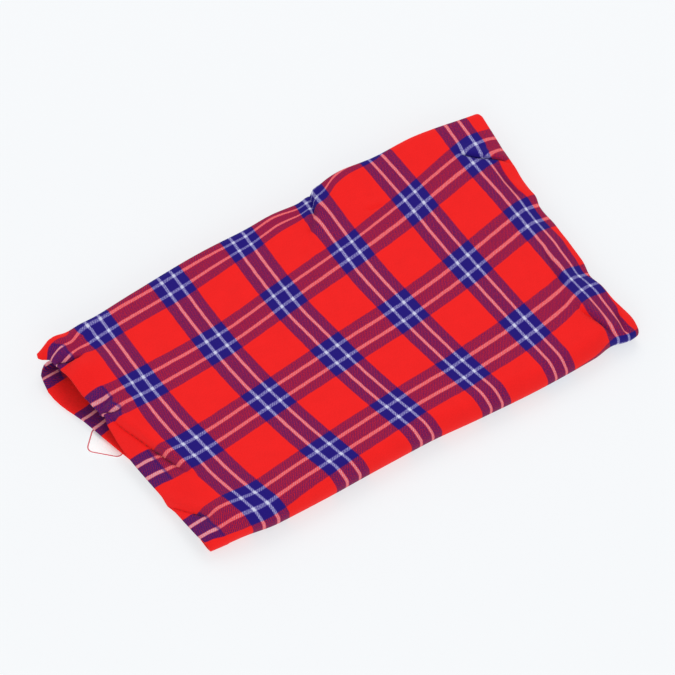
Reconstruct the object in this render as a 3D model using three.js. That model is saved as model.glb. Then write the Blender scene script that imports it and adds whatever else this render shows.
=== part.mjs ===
// A folded Maasai shuka: one checked blanket, folded into a flat bundle, with a bare label under its hem.
//
// The bundle lies on the surface with its long side along X. The front, at -Y, is one big fold that wraps
// the whole stack. The right end, at +X, is closed by a fold. The left end is open: the hem of the upper
// flap rolls down over the hem of the lower flap, and the two part towards the back like a mouth.
//
// The cloth is drawn the way it is folded. It is doubled over at the right end, and the doubled strip then
// runs through four legs, one above the other: a tucked leg, the top, the bottom and another tucked leg.
// Each drawn layer stands for about four layers of the real blanket that lie pressed together.

import * as THREE from 'three';

// Cloth: one drawn layer and the air between two of them.
const CLOTH = 1.8;
const AIR = 1.4;
const PITCH = CLOTH + AIR;

// Legs of the doubled strip, by the height of the strip's middle above the surface.
const FIRST_LEVEL = CLOTH / 2 + PITCH / 2;
const LEG_RISE = 2 * PITCH;
const BOTTOM_Z = FIRST_LEVEL;
const LOWER_TUCK_Z = FIRST_LEVEL + LEG_RISE;
const UPPER_TUCK_Z = FIRST_LEVEL + 2 * LEG_RISE;
const TOP_Z = FIRST_LEVEL + 3 * LEG_RISE;

// Folds: where each one turns, and how wide.
const WRAP_RADIUS = (TOP_Z - BOTTOM_Z) / 2;
const WRAP_Y = -100;
const BACK_RADIUS = PITCH;
const UPPER_BACK_Y = 105;
const LOWER_BACK_Y = 101;
const UPPER_TUCK_END_Y = -90;
const LOWER_TUCK_END_Y = -84;
const END_RADIUS = PITCH / 2;
const UPPER_BACK_Z = (UPPER_TUCK_Z + TOP_Z) / 2;
const WRAP_Z = (TOP_Z + BOTTOM_Z) / 2;
const LOWER_BACK_Z = (BOTTOM_Z + LOWER_TUCK_Z) / 2;

// Half sizes of the bundle, by which its uneven thickness is measured.
const HALF_LENGTH = 190;
const HALF_DEPTH = 112;

// The doubled strip, leg by leg and turn by turn, with the steps that each is drawn in.
const STRIP = [
  { leg: 'upperTuck', fromY: UPPER_TUCK_END_Y, toY: UPPER_BACK_Y, z: UPPER_TUCK_Z, steps: 5 },
  { turn: 'upperBack', y: UPPER_BACK_Y, z: UPPER_BACK_Z, radius: BACK_RADIUS, start: -90, steps: 8 },
  { leg: 'top', fromY: UPPER_BACK_Y, toY: WRAP_Y, z: TOP_Z, steps: 18 },
  { turn: 'wrap', y: WRAP_Y, z: WRAP_Z, radius: WRAP_RADIUS, start: 90, steps: 9 },
  { leg: 'bottom', fromY: WRAP_Y, toY: LOWER_BACK_Y, z: BOTTOM_Z, steps: 9 },
  { turn: 'lowerBack', y: LOWER_BACK_Y, z: LOWER_BACK_Z, radius: BACK_RADIUS, start: -90, steps: 5 },
  { leg: 'lowerTuck', fromY: LOWER_BACK_Y, toY: LOWER_TUCK_END_Y, z: LOWER_TUCK_Z, steps: 5 },
];

// The open end. x is the hem, inner is the edge of the doubled-under layer, roll is how far the hem curls
// inwards, and lift is how far a stretch behind the hem stands off what it lies on.
const OPEN_END = [
  { leg: 'upperTuck', y: -70, x: -150, inner: -140, roll: 0, lift: 0 },
  { leg: 'upperTuck', y: 80, x: -156, inner: -146, roll: 0, lift: 0 },
  { leg: 'top', y: 104, x: -198, inner: -150, roll: 3, lift: 0 },
  { leg: 'top', y: 91, x: -192, inner: -150, roll: 7, lift: 0 },
  { leg: 'top', y: 74, x: -188, inner: -149, roll: 4, lift: 0 },
  { leg: 'top', y: 50, x: -185, inner: -148, roll: 8, lift: 0 },
  { leg: 'top', y: 28, x: -182, inner: -148, roll: 10, lift: 0 },
  { leg: 'top', y: 4, x: -184, inner: -147, roll: 14, lift: 0 },
  { leg: 'top', y: -50, x: -182, inner: -146, roll: 13, lift: 0 },
  { leg: 'top', y: -95, x: -180, inner: -146, roll: 9, lift: 0 },
  { leg: 'bottom', y: -95, x: -176, inner: -146, roll: 0, lift: 0 },
  { leg: 'bottom', y: -20, x: -178, inner: -146, roll: 0, lift: 0.6 },
  { leg: 'bottom', y: 14, x: -185, inner: -147, roll: 0, lift: 2.6 },
  { leg: 'bottom', y: 40, x: -191, inner: -148, roll: 0, lift: 2.6 },
  { leg: 'bottom', y: 68, x: -198, inner: -150, roll: 0, lift: 1.2 },
  { leg: 'bottom', y: 86, x: -200, inner: -150, roll: 0, lift: 1.5 },
  { leg: 'bottom', y: 97, x: -199, inner: -150, roll: 0, lift: 1 },
  { leg: 'lowerTuck', y: 80, x: -158, inner: -147, roll: 0, lift: 0 },
  { leg: 'lowerTuck', y: -70, x: -152, inner: -141, roll: 0, lift: 0 },
];
const ROLL_WIDTH = 30;
const LIFT_WIDTH = 34;

// The closed end: where each leg turns back under itself.
const CLOSED_END = [
  { leg: 'upperTuck', y: -70, x: 162 },
  { leg: 'upperTuck', y: 40, x: 165 },
  { leg: 'upperTuck', y: 95, x: 176 },
  { leg: 'top', y: 104, x: 185 },
  { leg: 'top', y: 60, x: 186 },
  { leg: 'top', y: 0, x: 182.5 },
  { leg: 'top', y: -55, x: 180.5 },
  { leg: 'top', y: -98, x: 186 },
  { leg: 'bottom', y: -95, x: 184 },
  { leg: 'bottom', y: 0, x: 180 },
  { leg: 'bottom', y: 90, x: 184 },
  { leg: 'lowerTuck', y: 80, x: 174 },
  { leg: 'lowerTuck', y: -70, x: 171 },
];

// The top leg hangs down past the legs below it at the closed end, by this much at places along Y.
const DROOPS = [
  { y: -98, down: 3 },
  { y: -50, down: 4.2 },
  { y: 20, down: 4.2 },
  { y: 70, down: 3.5 },
  { y: 104, down: 0 },
];
const DROOP_WIDTH = 28;

// The droop fades out with depth: below the level "none" over the legs, and lower down round the big fold.
const DROOP_LEVEL = { full: 20, none: 16, noneAtWrap: 3, wrapY: -92, legsY: -72 };

// Long edges: how far each stands out past its straight line, at places along X.
const FRONT_EDGE = [
  { x: -190, out: -6 },
  { x: -150, out: -5 },
  { x: -120, out: -1 },
  { x: -40, out: 0 },
  { x: 50, out: 1 },
  { x: 105, out: 3 },
  { x: 150, out: 2 },
  { x: 172, out: 0 },
  { x: 190, out: -5 },
];
const BACK_EDGE = [
  { x: -195, out: -8 },
  { x: -155, out: -6 },
  { x: -110, out: -2 },
  { x: -40, out: 2 },
  { x: 30, out: 0 },
  { x: 110, out: 3 },
  { x: 160, out: 2 },
  { x: 190, out: -1 },
];
const EDGE_REACH = 60;
const SWELL_LEVEL = { none: 18.5, full: 22.5 };
const PLEAT_LEVEL = { full: 3, none: 8 };

// Settling: the stack is a little thicker towards its open end and its back.
const THICKER_LEFT = 0.05;
const THICKER_BACK = 0.03;

// The open end sinks where no tucked leg fills it, most at the front corner.
const SLUMP = 0.42;
const SLUMP_FROM_X = -150;
const SLUMP_TO_X = -188;
const SLUMP_FROM_Y = 40;
const SLUMP_TO_Y = -70;

// Swells and folds of the outer layer: length and width are half sizes, turn is in degrees from X, rise is
// upwards and push is towards the back. Those on the top lie on the top leg, and those in the mouth lie on
// the lower flap.
const TOP_SWELLS = [
  { name: 'crown', x: 10, y: 0, length: 190, width: 95, turn: 0, rise: 2, push: 0 },
  { name: 'puff right of pinch', x: 72, y: 104, length: 28, width: 16, turn: -6, rise: 3, push: 7 },
  { name: 'pinch', x: 30, y: 96, length: 26, width: 8, turn: 55, rise: -2, push: 0 },
  { name: 'puff left of pinch', x: -50, y: 96, length: 70, width: 20, turn: 2, rise: 1.2, push: 0 },
  { name: 'hem bulge', x: -180, y: 74, length: 22, width: 12, turn: 0, rise: 3, push: 0 },
  { name: 'hem tip', x: -186, y: 102, length: 18, width: 8, turn: 0, rise: 2, push: 0 },
  { name: 'front corner fold', x: -158, y: -92, length: 26, width: 8, turn: 20, rise: 2, push: 0 },
  { name: 'corner fold', x: 160, y: -72, length: 26, width: 10, turn: 70, rise: 2.5, push: 0 },
];
const MOUTH_SWELLS = [
  { name: 'lower hem pleat', x: -196, y: 94, length: 14, width: 7, turn: 0, rise: 6, push: 0 },
];

// Steps across the doubled strip: hem stretch, middle, end stretch, turn, and the layer doubled under.
const ACROSS = [
  { stretch: 'hem', from: 0, to: 0.12, steps: 7 },
  { stretch: 'middle', from: 0.12, to: 0.88, steps: 17 },
  { stretch: 'closed end', from: 0.88, to: 1, steps: 5 },
  { stretch: 'turn', from: 1, to: 2, steps: 6 },
  { stretch: 'doubled under, by the turn', from: 2, to: 2.14, steps: 5 },
  { stretch: 'doubled under', from: 2.14, to: 3, steps: 8 },
];

// Label: a small rounded card under the lower flap, one corner out past the hem.
const LABEL = { x: -188, y: 21, side: 22, corner: 5, thick: 1, turn: 45, arcSteps: 6 };

// The middle of the bundle's outline. The origin lies under it, on the surface.
const MIDDLE = { x: -6.5, y: 1 };

const { lerp, smoothstep, degToRad } = THREE.MathUtils;

// Reads one column of a table at a place between its rows, along a smooth curve through them.
function readTable(rows, key, column, at) {
  const last = rows.length - 1;
  if (at <= rows[0][key]) return rows[0][column];
  if (at >= rows[last][key]) return rows[last][column];
  const next = rows.findIndex((row) => row[key] > at);
  const rampAfter = (n) => (rows[n + 1][column] - rows[n][column]) / (rows[n + 1][key] - rows[n][key]);
  const slopeAt = (n) => {
    const before = rampAfter(Math.max(n - 1, 0));
    const after = rampAfter(Math.min(n, last - 1));
    return before * after <= 0 ? 0 : (2 * before * after) / (before + after);
  };
  const from = rows[next - 1];
  const to = rows[next];
  const span = to[key] - from[key];
  const f = (at - from[key]) / span;
  const bend = f * (1 - f) * span;
  const rise = lerp(from[column], to[column], f * f * (3 - 2 * f));
  return rise + bend * ((1 - f) * slopeAt(next - 1) - f * slopeAt(next));
}

// Measures the strip once, so that every leg and turn knows where it starts along it.
function measureStrip() {
  let along = 0;
  return STRIP.map((piece) => {
    const length = piece.leg ? Math.abs(piece.toY - piece.fromY) : Math.PI * piece.radius;
    const from = along;
    along += length;
    return { ...piece, from, to: along };
  });
}

const strip = measureStrip();

// Where a place on a leg lies along the strip.
function alongStrip(leg, y) {
  const piece = strip.find((one) => one.leg === leg);
  return piece.from + Math.abs(y - piece.fromY);
}

const topEnd = CLOSED_END.filter((row) => row.leg === 'top').reverse();
const withPlace = (rows) => rows.map((row) => ({ ...row, s: alongStrip(row.leg, row.y) }));
const openEnd = withPlace(OPEN_END);
const closedEnd = withPlace(CLOSED_END);

// The middle of the doubled strip at a distance along it, and the way that its outer layer faces there.
function sectionAt(s) {
  const piece = strip.findLast((one) => one.from <= s) ?? strip[0];
  const f = (s - piece.from) / (piece.to - piece.from);
  if (piece.leg) {
    const facing = Math.sign(piece.fromY - piece.toY);
    return { y: lerp(piece.fromY, piece.toY, f), z: piece.z, faceY: 0, faceZ: facing };
  }
  const angle = degToRad(piece.start + 180 * f);
  const faceY = Math.cos(angle);
  const faceZ = Math.sin(angle);
  return { y: piece.y + piece.radius * faceY, z: piece.z + piece.radius * faceZ, faceY, faceZ };
}

// How high one swell stands at a place, as a share of its full height.
function swellShare(swell, x, y) {
  const turn = degToRad(swell.turn);
  const dx = x - swell.x;
  const dy = y - swell.y;
  const along = (dx * Math.cos(turn) + dy * Math.sin(turn)) / swell.length;
  const across = (dy * Math.cos(turn) - dx * Math.sin(turn)) / swell.width;
  return Math.exp(-along * along - across * across);
}

// What a list of swells adds at a place: how far it rises, and how far it is pushed to the back.
function swellsAt(swells, x, y) {
  let rise = 0;
  let push = 0;
  for (const swell of swells) {
    const share = swellShare(swell, x, y);
    rise += swell.rise * share;
    push += swell.push * share;
  }
  return { rise, push };
}

// Moves a point of the even bundle to where the cloth has settled.
function settle(x, y, z, outer) {
  const frontShare = 1 - smoothstep(y, WRAP_Y, WRAP_Y + EDGE_REACH);
  const backShare = smoothstep(y, LOWER_BACK_Y - EDGE_REACH, LOWER_BACK_Y);
  const frontOut = readTable(FRONT_EDGE, 'x', 'out', x) * frontShare;
  const backOut = readTable(BACK_EDGE, 'x', 'out', x) * backShare;

  const height = z - CLOTH / 2;
  const thicker = 1 - (THICKER_LEFT * x) / HALF_LENGTH + (THICKER_BACK * y) / HALF_DEPTH;
  const slumpX = smoothstep(-x, -SLUMP_FROM_X, -SLUMP_TO_X);
  const slumpY = smoothstep(-y, -SLUMP_FROM_Y, -SLUMP_TO_Y);
  const slumped = 1 - SLUMP * slumpX * slumpY;

  const offWrap = smoothstep(y, DROOP_LEVEL.wrapY, DROOP_LEVEL.legsY);
  const lowest = lerp(DROOP_LEVEL.noneAtWrap, DROOP_LEVEL.none, offWrap);
  const topShare = smoothstep(z, lowest, DROOP_LEVEL.full);
  const pastStart = Math.max(0, 1 - (readTable(topEnd, 'y', 'x', y) - x) / DROOP_WIDTH);
  const droop = readTable(DROOPS, 'y', 'down', y) * pastStart * pastStart * topShare;

  const topLevel = outer * smoothstep(z, SWELL_LEVEL.none, SWELL_LEVEL.full);
  const mouthLevel = outer * (1 - smoothstep(z, PLEAT_LEVEL.full, PLEAT_LEVEL.none));
  const onTop = swellsAt(TOP_SWELLS, x, y);
  const inMouth = swellsAt(MOUTH_SWELLS, x, y);
  const rise = onTop.rise * topLevel + inMouth.rise * mouthLevel;
  const push = onTop.push * topLevel + inMouth.push * mouthLevel;

  const settledY = y - frontOut + backOut + push;
  const settledZ = CLOTH / 2 + height * thicker * slumped + rise - droop;
  return new THREE.Vector3(x, settledY, settledZ);
}

// A point of the sheet's middle: s runs along the strip, and t runs across it. t is 0 to 1 on the outer
// layer from the hem to the closed end, 1 to 2 round the turn there, and 2 to 3 on the layer doubled under.
function sheetAt(s, t) {
  const hemX = readTable(openEnd, 's', 'x', s);
  const innerX = readTable(openEnd, 's', 'inner', s);
  const turnX = readTable(closedEnd, 's', 'x', s);
  let x;
  let out = END_RADIUS;
  if (t <= 1) {
    x = lerp(hemX, turnX, t);
    const rolled = Math.max(0, 1 - (x - hemX) / ROLL_WIDTH);
    out -= readTable(openEnd, 's', 'roll', s) * rolled * rolled;
    out -= readTable(openEnd, 's', 'lift', s) * (1 - smoothstep(x - hemX, 0, LIFT_WIDTH));
  } else if (t <= 2) {
    x = turnX + END_RADIUS * Math.sin(Math.PI * (t - 1));
    out = END_RADIUS * Math.cos(Math.PI * (t - 1));
  } else {
    x = lerp(turnX, innerX, t - 2);
    out = -END_RADIUS;
  }
  const outer = t <= 1 ? 1 : (out / END_RADIUS + 1) / 2;
  const middle = sectionAt(s);
  return settle(x, middle.y + middle.faceY * out, middle.z + middle.faceZ * out, outer);
}

// The way that the sheet faces at a place, square to it.
const NUDGE_S = 0.02;
const NUDGE_T = 0.0001;
function facingAt(s, t) {
  const alongS = sheetAt(s + NUDGE_S, t).sub(sheetAt(s - NUDGE_S, t));
  const alongT = sheetAt(s, t + NUDGE_T).sub(sheetAt(s, t - NUDGE_T));
  return alongS.cross(alongT).normalize();
}

// Even steps through each stretch of a list, with both ends.
function stepThrough(stretches) {
  const places = [stretches[0].from];
  for (const { from, to, steps } of stretches) {
    for (let n = 1; n <= steps; n += 1) {
      places.push(lerp(from, to, n / steps));
    }
  }
  return places;
}

// The whole sheet as one closed body: its outer face, its inner face and the four edges between them.
function makeCloth() {
  const sPlaces = stepThrough(strip);
  const tPlaces = stepThrough(ACROSS);
  const rows = sPlaces.length;
  const columns = tPlaces.length;
  const positions = [];
  for (const face of [CLOTH / 2, -CLOTH / 2]) {
    for (const s of sPlaces) {
      for (const t of tPlaces) {
        const point = sheetAt(s, t).addScaledVector(facingAt(s, t), face);
        positions.push(point.x, point.y, point.z);
      }
    }
  }
  const outer = (i, j) => i * columns + j;
  const inner = (i, j) => rows * columns + outer(i, j);
  const lastI = rows - 1;
  const lastJ = columns - 1;
  const indices = [];
  const addQuad = (a, b, c, d) => indices.push(a, b, c, a, c, d);
  for (let i = 0; i < lastI; i += 1) {
    for (let j = 0; j < lastJ; j += 1) {
      addQuad(outer(i, j), outer(i + 1, j), outer(i + 1, j + 1), outer(i, j + 1));
      addQuad(inner(i, j), inner(i, j + 1), inner(i + 1, j + 1), inner(i + 1, j));
    }
    addQuad(outer(i, 0), inner(i, 0), inner(i + 1, 0), outer(i + 1, 0));
    addQuad(outer(i, lastJ), outer(i + 1, lastJ), inner(i + 1, lastJ), inner(i, lastJ));
  }
  for (let j = 0; j < lastJ; j += 1) {
    addQuad(outer(0, j), outer(0, j + 1), inner(0, j + 1), inner(0, j));
    addQuad(outer(lastI, j), inner(lastI, j), inner(lastI, j + 1), outer(lastI, j + 1));
  }
  const geometry = new THREE.BufferGeometry();
  geometry.setAttribute('position', new THREE.Float32BufferAttribute(positions, 3));
  geometry.setIndex(indices);
  geometry.computeVertexNormals();
  return geometry;
}

// A square card with rounded corners, flat on the surface.
function makeLabel() {
  const half = LABEL.side / 2;
  const inset = half - LABEL.corner;
  const outline = new THREE.Shape();
  const corners = [[inset, inset, 0], [-inset, inset, 90], [-inset, -inset, 180], [inset, -inset, 270]];
  for (const [x, y, start] of corners) {
    outline.absarc(x, y, LABEL.corner, degToRad(start), degToRad(start + 90), false);
  }
  const solid = { depth: LABEL.thick, bevelEnabled: false, curveSegments: LABEL.arcSteps };
  return new THREE.ExtrudeGeometry(outline, solid);
}

const redCheck = new THREE.MeshStandardMaterial({ color: 0xdc2a28, roughness: 0.85, metalness: 0 });
const whiteCard = new THREE.MeshStandardMaterial({ color: 0xf4f4f2, roughness: 0.6, metalness: 0 });

const shuka = new THREE.Mesh(makeCloth(), redCheck);
shuka.name = 'shuka';

const label = new THREE.Mesh(makeLabel(), whiteCard);
label.name = 'care_label';
label.position.set(LABEL.x, LABEL.y, 0);
label.rotation.z = degToRad(LABEL.turn);

const group = new THREE.Group();
group.add(shuka, label);
group.position.set(-MIDDLE.x, -MIDDLE.y, 0);

export default group;
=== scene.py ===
# %% [markdown]
# # A folded shuka blanket
#
# A shuka is a light twill blanket in a bold red and blue check. Here it lies folded into a flat bundle:
# the front is one big fold round the whole stack, the right end is closed by a fold, and the left end is
# open, with the hem of the upper flap rolled down over the hem of the lower flap.
#
# The solid model of the bundle is loaded first. It is the fixed frame for everything that follows.

# %% Load the frame
import math

import bpy
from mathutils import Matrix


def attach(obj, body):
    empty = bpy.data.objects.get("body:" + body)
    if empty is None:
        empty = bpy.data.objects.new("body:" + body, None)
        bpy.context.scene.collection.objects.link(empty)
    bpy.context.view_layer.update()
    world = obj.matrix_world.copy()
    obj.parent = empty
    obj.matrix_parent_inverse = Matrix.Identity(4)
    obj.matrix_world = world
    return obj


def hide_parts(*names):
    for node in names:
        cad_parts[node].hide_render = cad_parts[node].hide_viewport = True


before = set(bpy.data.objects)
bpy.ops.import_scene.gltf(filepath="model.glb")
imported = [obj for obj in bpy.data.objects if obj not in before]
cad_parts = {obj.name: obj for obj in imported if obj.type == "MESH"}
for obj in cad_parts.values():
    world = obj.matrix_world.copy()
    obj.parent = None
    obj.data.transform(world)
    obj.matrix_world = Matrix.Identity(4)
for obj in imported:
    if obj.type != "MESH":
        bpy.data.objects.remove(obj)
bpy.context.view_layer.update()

MM = 0.001


# %% [markdown]
# ## Camera
#
# The picture looks down on the bundle from its front left, from far away, so that lines which are level
# on the cloth stay level in the picture. A long lens does that. Its length follows from the distance and
# from the width that the picture shows at the bundle.

# %% Camera
VIEW_TURN = math.radians(-32.5)
VIEW_TILT = math.radians(56)
VIEW_DISTANCE = 6.0
VIEW_WIDTH = 0.4927
VIEW_TARGET = (0.0064, -0.0004, 0.012)
SENSOR = 36

camera_data = bpy.data.cameras.new("picture camera")
camera_data.sensor_width = SENSOR
camera_data.lens = SENSOR * VIEW_DISTANCE / VIEW_WIDTH
camera = bpy.data.objects.new("picture camera", camera_data)
bpy.context.scene.collection.objects.link(camera)
camera.location = (
    VIEW_TARGET[0] + VIEW_DISTANCE * math.sin(VIEW_TURN) * math.cos(VIEW_TILT),
    VIEW_TARGET[1] - VIEW_DISTANCE * math.cos(VIEW_TURN) * math.cos(VIEW_TILT),
    VIEW_TARGET[2] + VIEW_DISTANCE * math.sin(VIEW_TILT),
)
camera.rotation_euler = (math.pi / 2 - VIEW_TILT, 0, VIEW_TURN)
bpy.context.scene.camera = camera
print("lens, mm:", round(camera_data.lens, 1))


# %% [markdown]
# ## Tables and curves
#
# Hand-folded cloth is uneven, but it isn't random: each edge and fold has a shape that can be written as a
# few numbers along it. Short tables hold those numbers, and a smooth curve is drawn through the rows of a
# column. The curve never swings past its rows, which keeps the layers of cloth apart.

# %% Table and curve helpers
def table(columns, *rows):
    """Rows of numbers with named columns."""
    return [dict(zip(columns.split(), row)) for row in rows]


def lerp(a, b, f):
    return a + (b - a) * f


def smoothstep(x, low, high):
    f = min(1.0, max(0.0, (x - low) / (high - low)))
    return f * f * (3 - 2 * f)


def read_table(rows, key, column, at):
    """One column of a table at a place between its rows."""
    last = len(rows) - 1
    if at <= rows[0][key]:
        return rows[0][column]
    if at >= rows[last][key]:
        return rows[last][column]
    after = next(n for n, row in enumerate(rows) if row[key] > at)

    def ramp(n):
        return (rows[n + 1][column] - rows[n][column]) / (rows[n + 1][key] - rows[n][key])

    def slope(n):
        left, right = ramp(max(n - 1, 0)), ramp(min(n, last - 1))
        return 0.0 if left * right <= 0 else 2 * left * right / (left + right)

    start, end = rows[after - 1], rows[after]
    span = end[key] - start[key]
    f = (at - start[key]) / span
    bend = f * (1 - f) * span
    rise = lerp(start[column], end[column], f * f * (3 - 2 * f))
    return rise + bend * ((1 - f) * slope(after - 1) - f * slope(after))


# %% [markdown]
# ## The way the blanket is folded
#
# The sheet is doubled over at the right end, and the doubled strip then runs through four legs, one above
# the other, with three turns between them. The lengths here are those of the solid model, in millimetres,
# so the fine sheet lies exactly in its folds.

# %% The folded strip
CLOTH = 1.8
AIR = 1.4
PITCH = CLOTH + AIR
BOTTOM_Z = CLOTH / 2 + PITCH / 2
LOWER_TUCK_Z = BOTTOM_Z + 2 * PITCH
UPPER_TUCK_Z = BOTTOM_Z + 4 * PITCH
TOP_Z = BOTTOM_Z + 6 * PITCH
WRAP_Y = -100
UPPER_BACK_Y = 105
LOWER_BACK_Y = 101
UPPER_TUCK_EDGE_Y = -90
LOWER_TUCK_EDGE_Y = -84
END_RADIUS = PITCH / 2
HALF_LENGTH = 190
HALF_DEPTH = 112
MIDDLE_X = -6.5
MIDDLE_Y = 1

STRIP = table(
    "name kind start_y end_y z radius start_turn steps",
    ("upper tuck", "leg", UPPER_TUCK_EDGE_Y, UPPER_BACK_Y, UPPER_TUCK_Z, 0, 0, 8),
    ("upper back", "turn", UPPER_BACK_Y, 0, (UPPER_TUCK_Z + TOP_Z) / 2, PITCH, -90, 9),
    ("top", "leg", UPPER_BACK_Y, WRAP_Y, TOP_Z, 0, 0, 160),
    ("wrap", "turn", WRAP_Y, 0, (TOP_Z + BOTTOM_Z) / 2, (TOP_Z - BOTTOM_Z) / 2, 90, 22),
    ("bottom", "leg", WRAP_Y, LOWER_BACK_Y, BOTTOM_Z, 0, 0, 24),
    ("lower back", "turn", LOWER_BACK_Y, 0, (BOTTOM_Z + LOWER_TUCK_Z) / 2, PITCH, -90, 6),
    ("lower tuck", "leg", LOWER_BACK_Y, LOWER_TUCK_EDGE_Y, LOWER_TUCK_Z, 0, 0, 7),
)
along = 0.0
for piece in STRIP:
    piece["from_s"] = along
    along += abs(piece["end_y"] - piece["start_y"]) if piece["kind"] == "leg" else math.pi * piece["radius"]
    piece["to_s"] = along
STRIP_BY_NAME = {piece["name"]: piece for piece in STRIP}
print("length of the doubled strip, mm:", round(along, 1))


def section_at(s):
    """The middle of the doubled strip at a distance along it, and the way its outer layer faces."""
    piece = next((one for one in STRIP if s < one["to_s"]), STRIP[-1])
    f = (s - piece["from_s"]) / (piece["to_s"] - piece["from_s"])
    if piece["kind"] == "leg":
        facing = 1 if piece["start_y"] > piece["end_y"] else -1
        return lerp(piece["start_y"], piece["end_y"], f), piece["z"], 0.0, facing
    angle = math.radians(piece["start_turn"] + 180 * f)
    face_y, face_z = math.cos(angle), math.sin(angle)
    return piece["start_y"] + piece["radius"] * face_y, piece["z"] + piece["radius"] * face_z, face_y, face_z


# %% [markdown]
# ## Ends, edges and swells
#
# The open end has a hem that wanders, curls inwards and lifts off what it lies on. The closed end turns
# back under itself, and sags a little over the shorter legs inside. Then the whole stack has settled: it is
# thicker at its open back corner, it has sunk at the open front corner, and the top is crowned.

# %% Ends, edges and swells
OPEN_END = table(
    "leg y x inner roll lift",
    ("upper tuck", -70, -150, -140, 0, 0), ("upper tuck", 80, -156, -146, 0, 0),
    ("top", 104, -197, -150, 3, 0), ("top", 99, -189, -150, 6, 0), ("top", 74, -186, -149, 4, 0),
    ("top", 50, -184.5, -148, 8, 0), ("top", 28, -182, -148, 10, 0), ("top", 4, -182.5, -147, 14, 0),
    ("top", -50, -179, -146, 13, 0), ("top", -95, -176.5, -146, 9, 0),
    ("bottom", -95, -173, -146, 0, 0), ("bottom", -20, -177, -146, 0, 0.6),
    ("bottom", 14, -185, -147, 0, 2.6), ("bottom", 40, -191, -148, 0, 2.6),
    ("bottom", 68, -198, -150, 0, 1.2), ("bottom", 86, -200, -150, 0, 1.5),
    ("bottom", 97, -199, -150, 0, 1),
    ("lower tuck", 80, -158, -147, 0, 0), ("lower tuck", -70, -152, -141, 0, 0),
)
CLOSED_END = table(
    "leg y x",
    ("upper tuck", -70, 162), ("upper tuck", 40, 165), ("upper tuck", 95, 176),
    ("top", 104, 185), ("top", 60, 186), ("top", 0, 182.5), ("top", -55, 180.5), ("top", -98, 186),
    ("bottom", -95, 184), ("bottom", 0, 180), ("bottom", 90, 184),
    ("lower tuck", 80, 174), ("lower tuck", -70, 171),
)
DROOPS = table("y down", (-98, 3), (-50, 4.2), (20, 4.2), (70, 3.5), (104, 0))
FRONT_EDGE = table(
    "x out", (-190, -6), (-150, -5), (-120, -1), (-80, -0.6), (-40, -1.3), (5, -1.6), (50, 1), (105, 3),
    (150, 2), (166, -0.5), (181, 2.5), (190, 1)
)
BACK_EDGE = table(
    "x out", (-195, -8), (-155, -6), (-110, -2), (-40, 2), (30, 0), (110, 3), (160, 2), (190, -1)
)
TOP_SWELLS = table(
    "name x y length width turn rise push_x push_y",
    ("crown", 10, 0, 190, 95, 0, 2, 0, 0),
    ("puff right of pinch", 72, 104, 28, 16, -6, 3, 0, 7),
    ("pinch", 30, 96, 26, 8, 55, -2, 0, 0),
    ("puff left of pinch", -50, 96, 70, 20, 2, 1.2, 0, 0),
    ("hem bulge", -180, 74, 22, 12, 0, 3, 0, 0),
    ("hem tip", -186, 102, 18, 8, 0, 2, 0, 0),
    ("front corner fold", -158, -92, 26, 8, 20, 2, 0, 0),
    ("corner fold", 160, -72, 26, 10, 70, 2.5, 0, 0),
)
MOUTH_SWELLS = table(
    "name x y length width turn rise push_x push_y",
    ("lower hem pleat", -196, 94, 14, 7, 0, 6, 0, 0),
)


def along_strip(leg, y):
    piece = STRIP_BY_NAME[leg]
    return piece["from_s"] + abs(y - piece["start_y"])


for end in (OPEN_END, CLOSED_END):
    for row in end:
        row["s"] = along_strip(row["leg"], row["y"])
TOP_CLOSED_END = [row for row in CLOSED_END if row["leg"] == "top"][::-1]
print("rows in the end tables:", len(OPEN_END), len(CLOSED_END))
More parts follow.
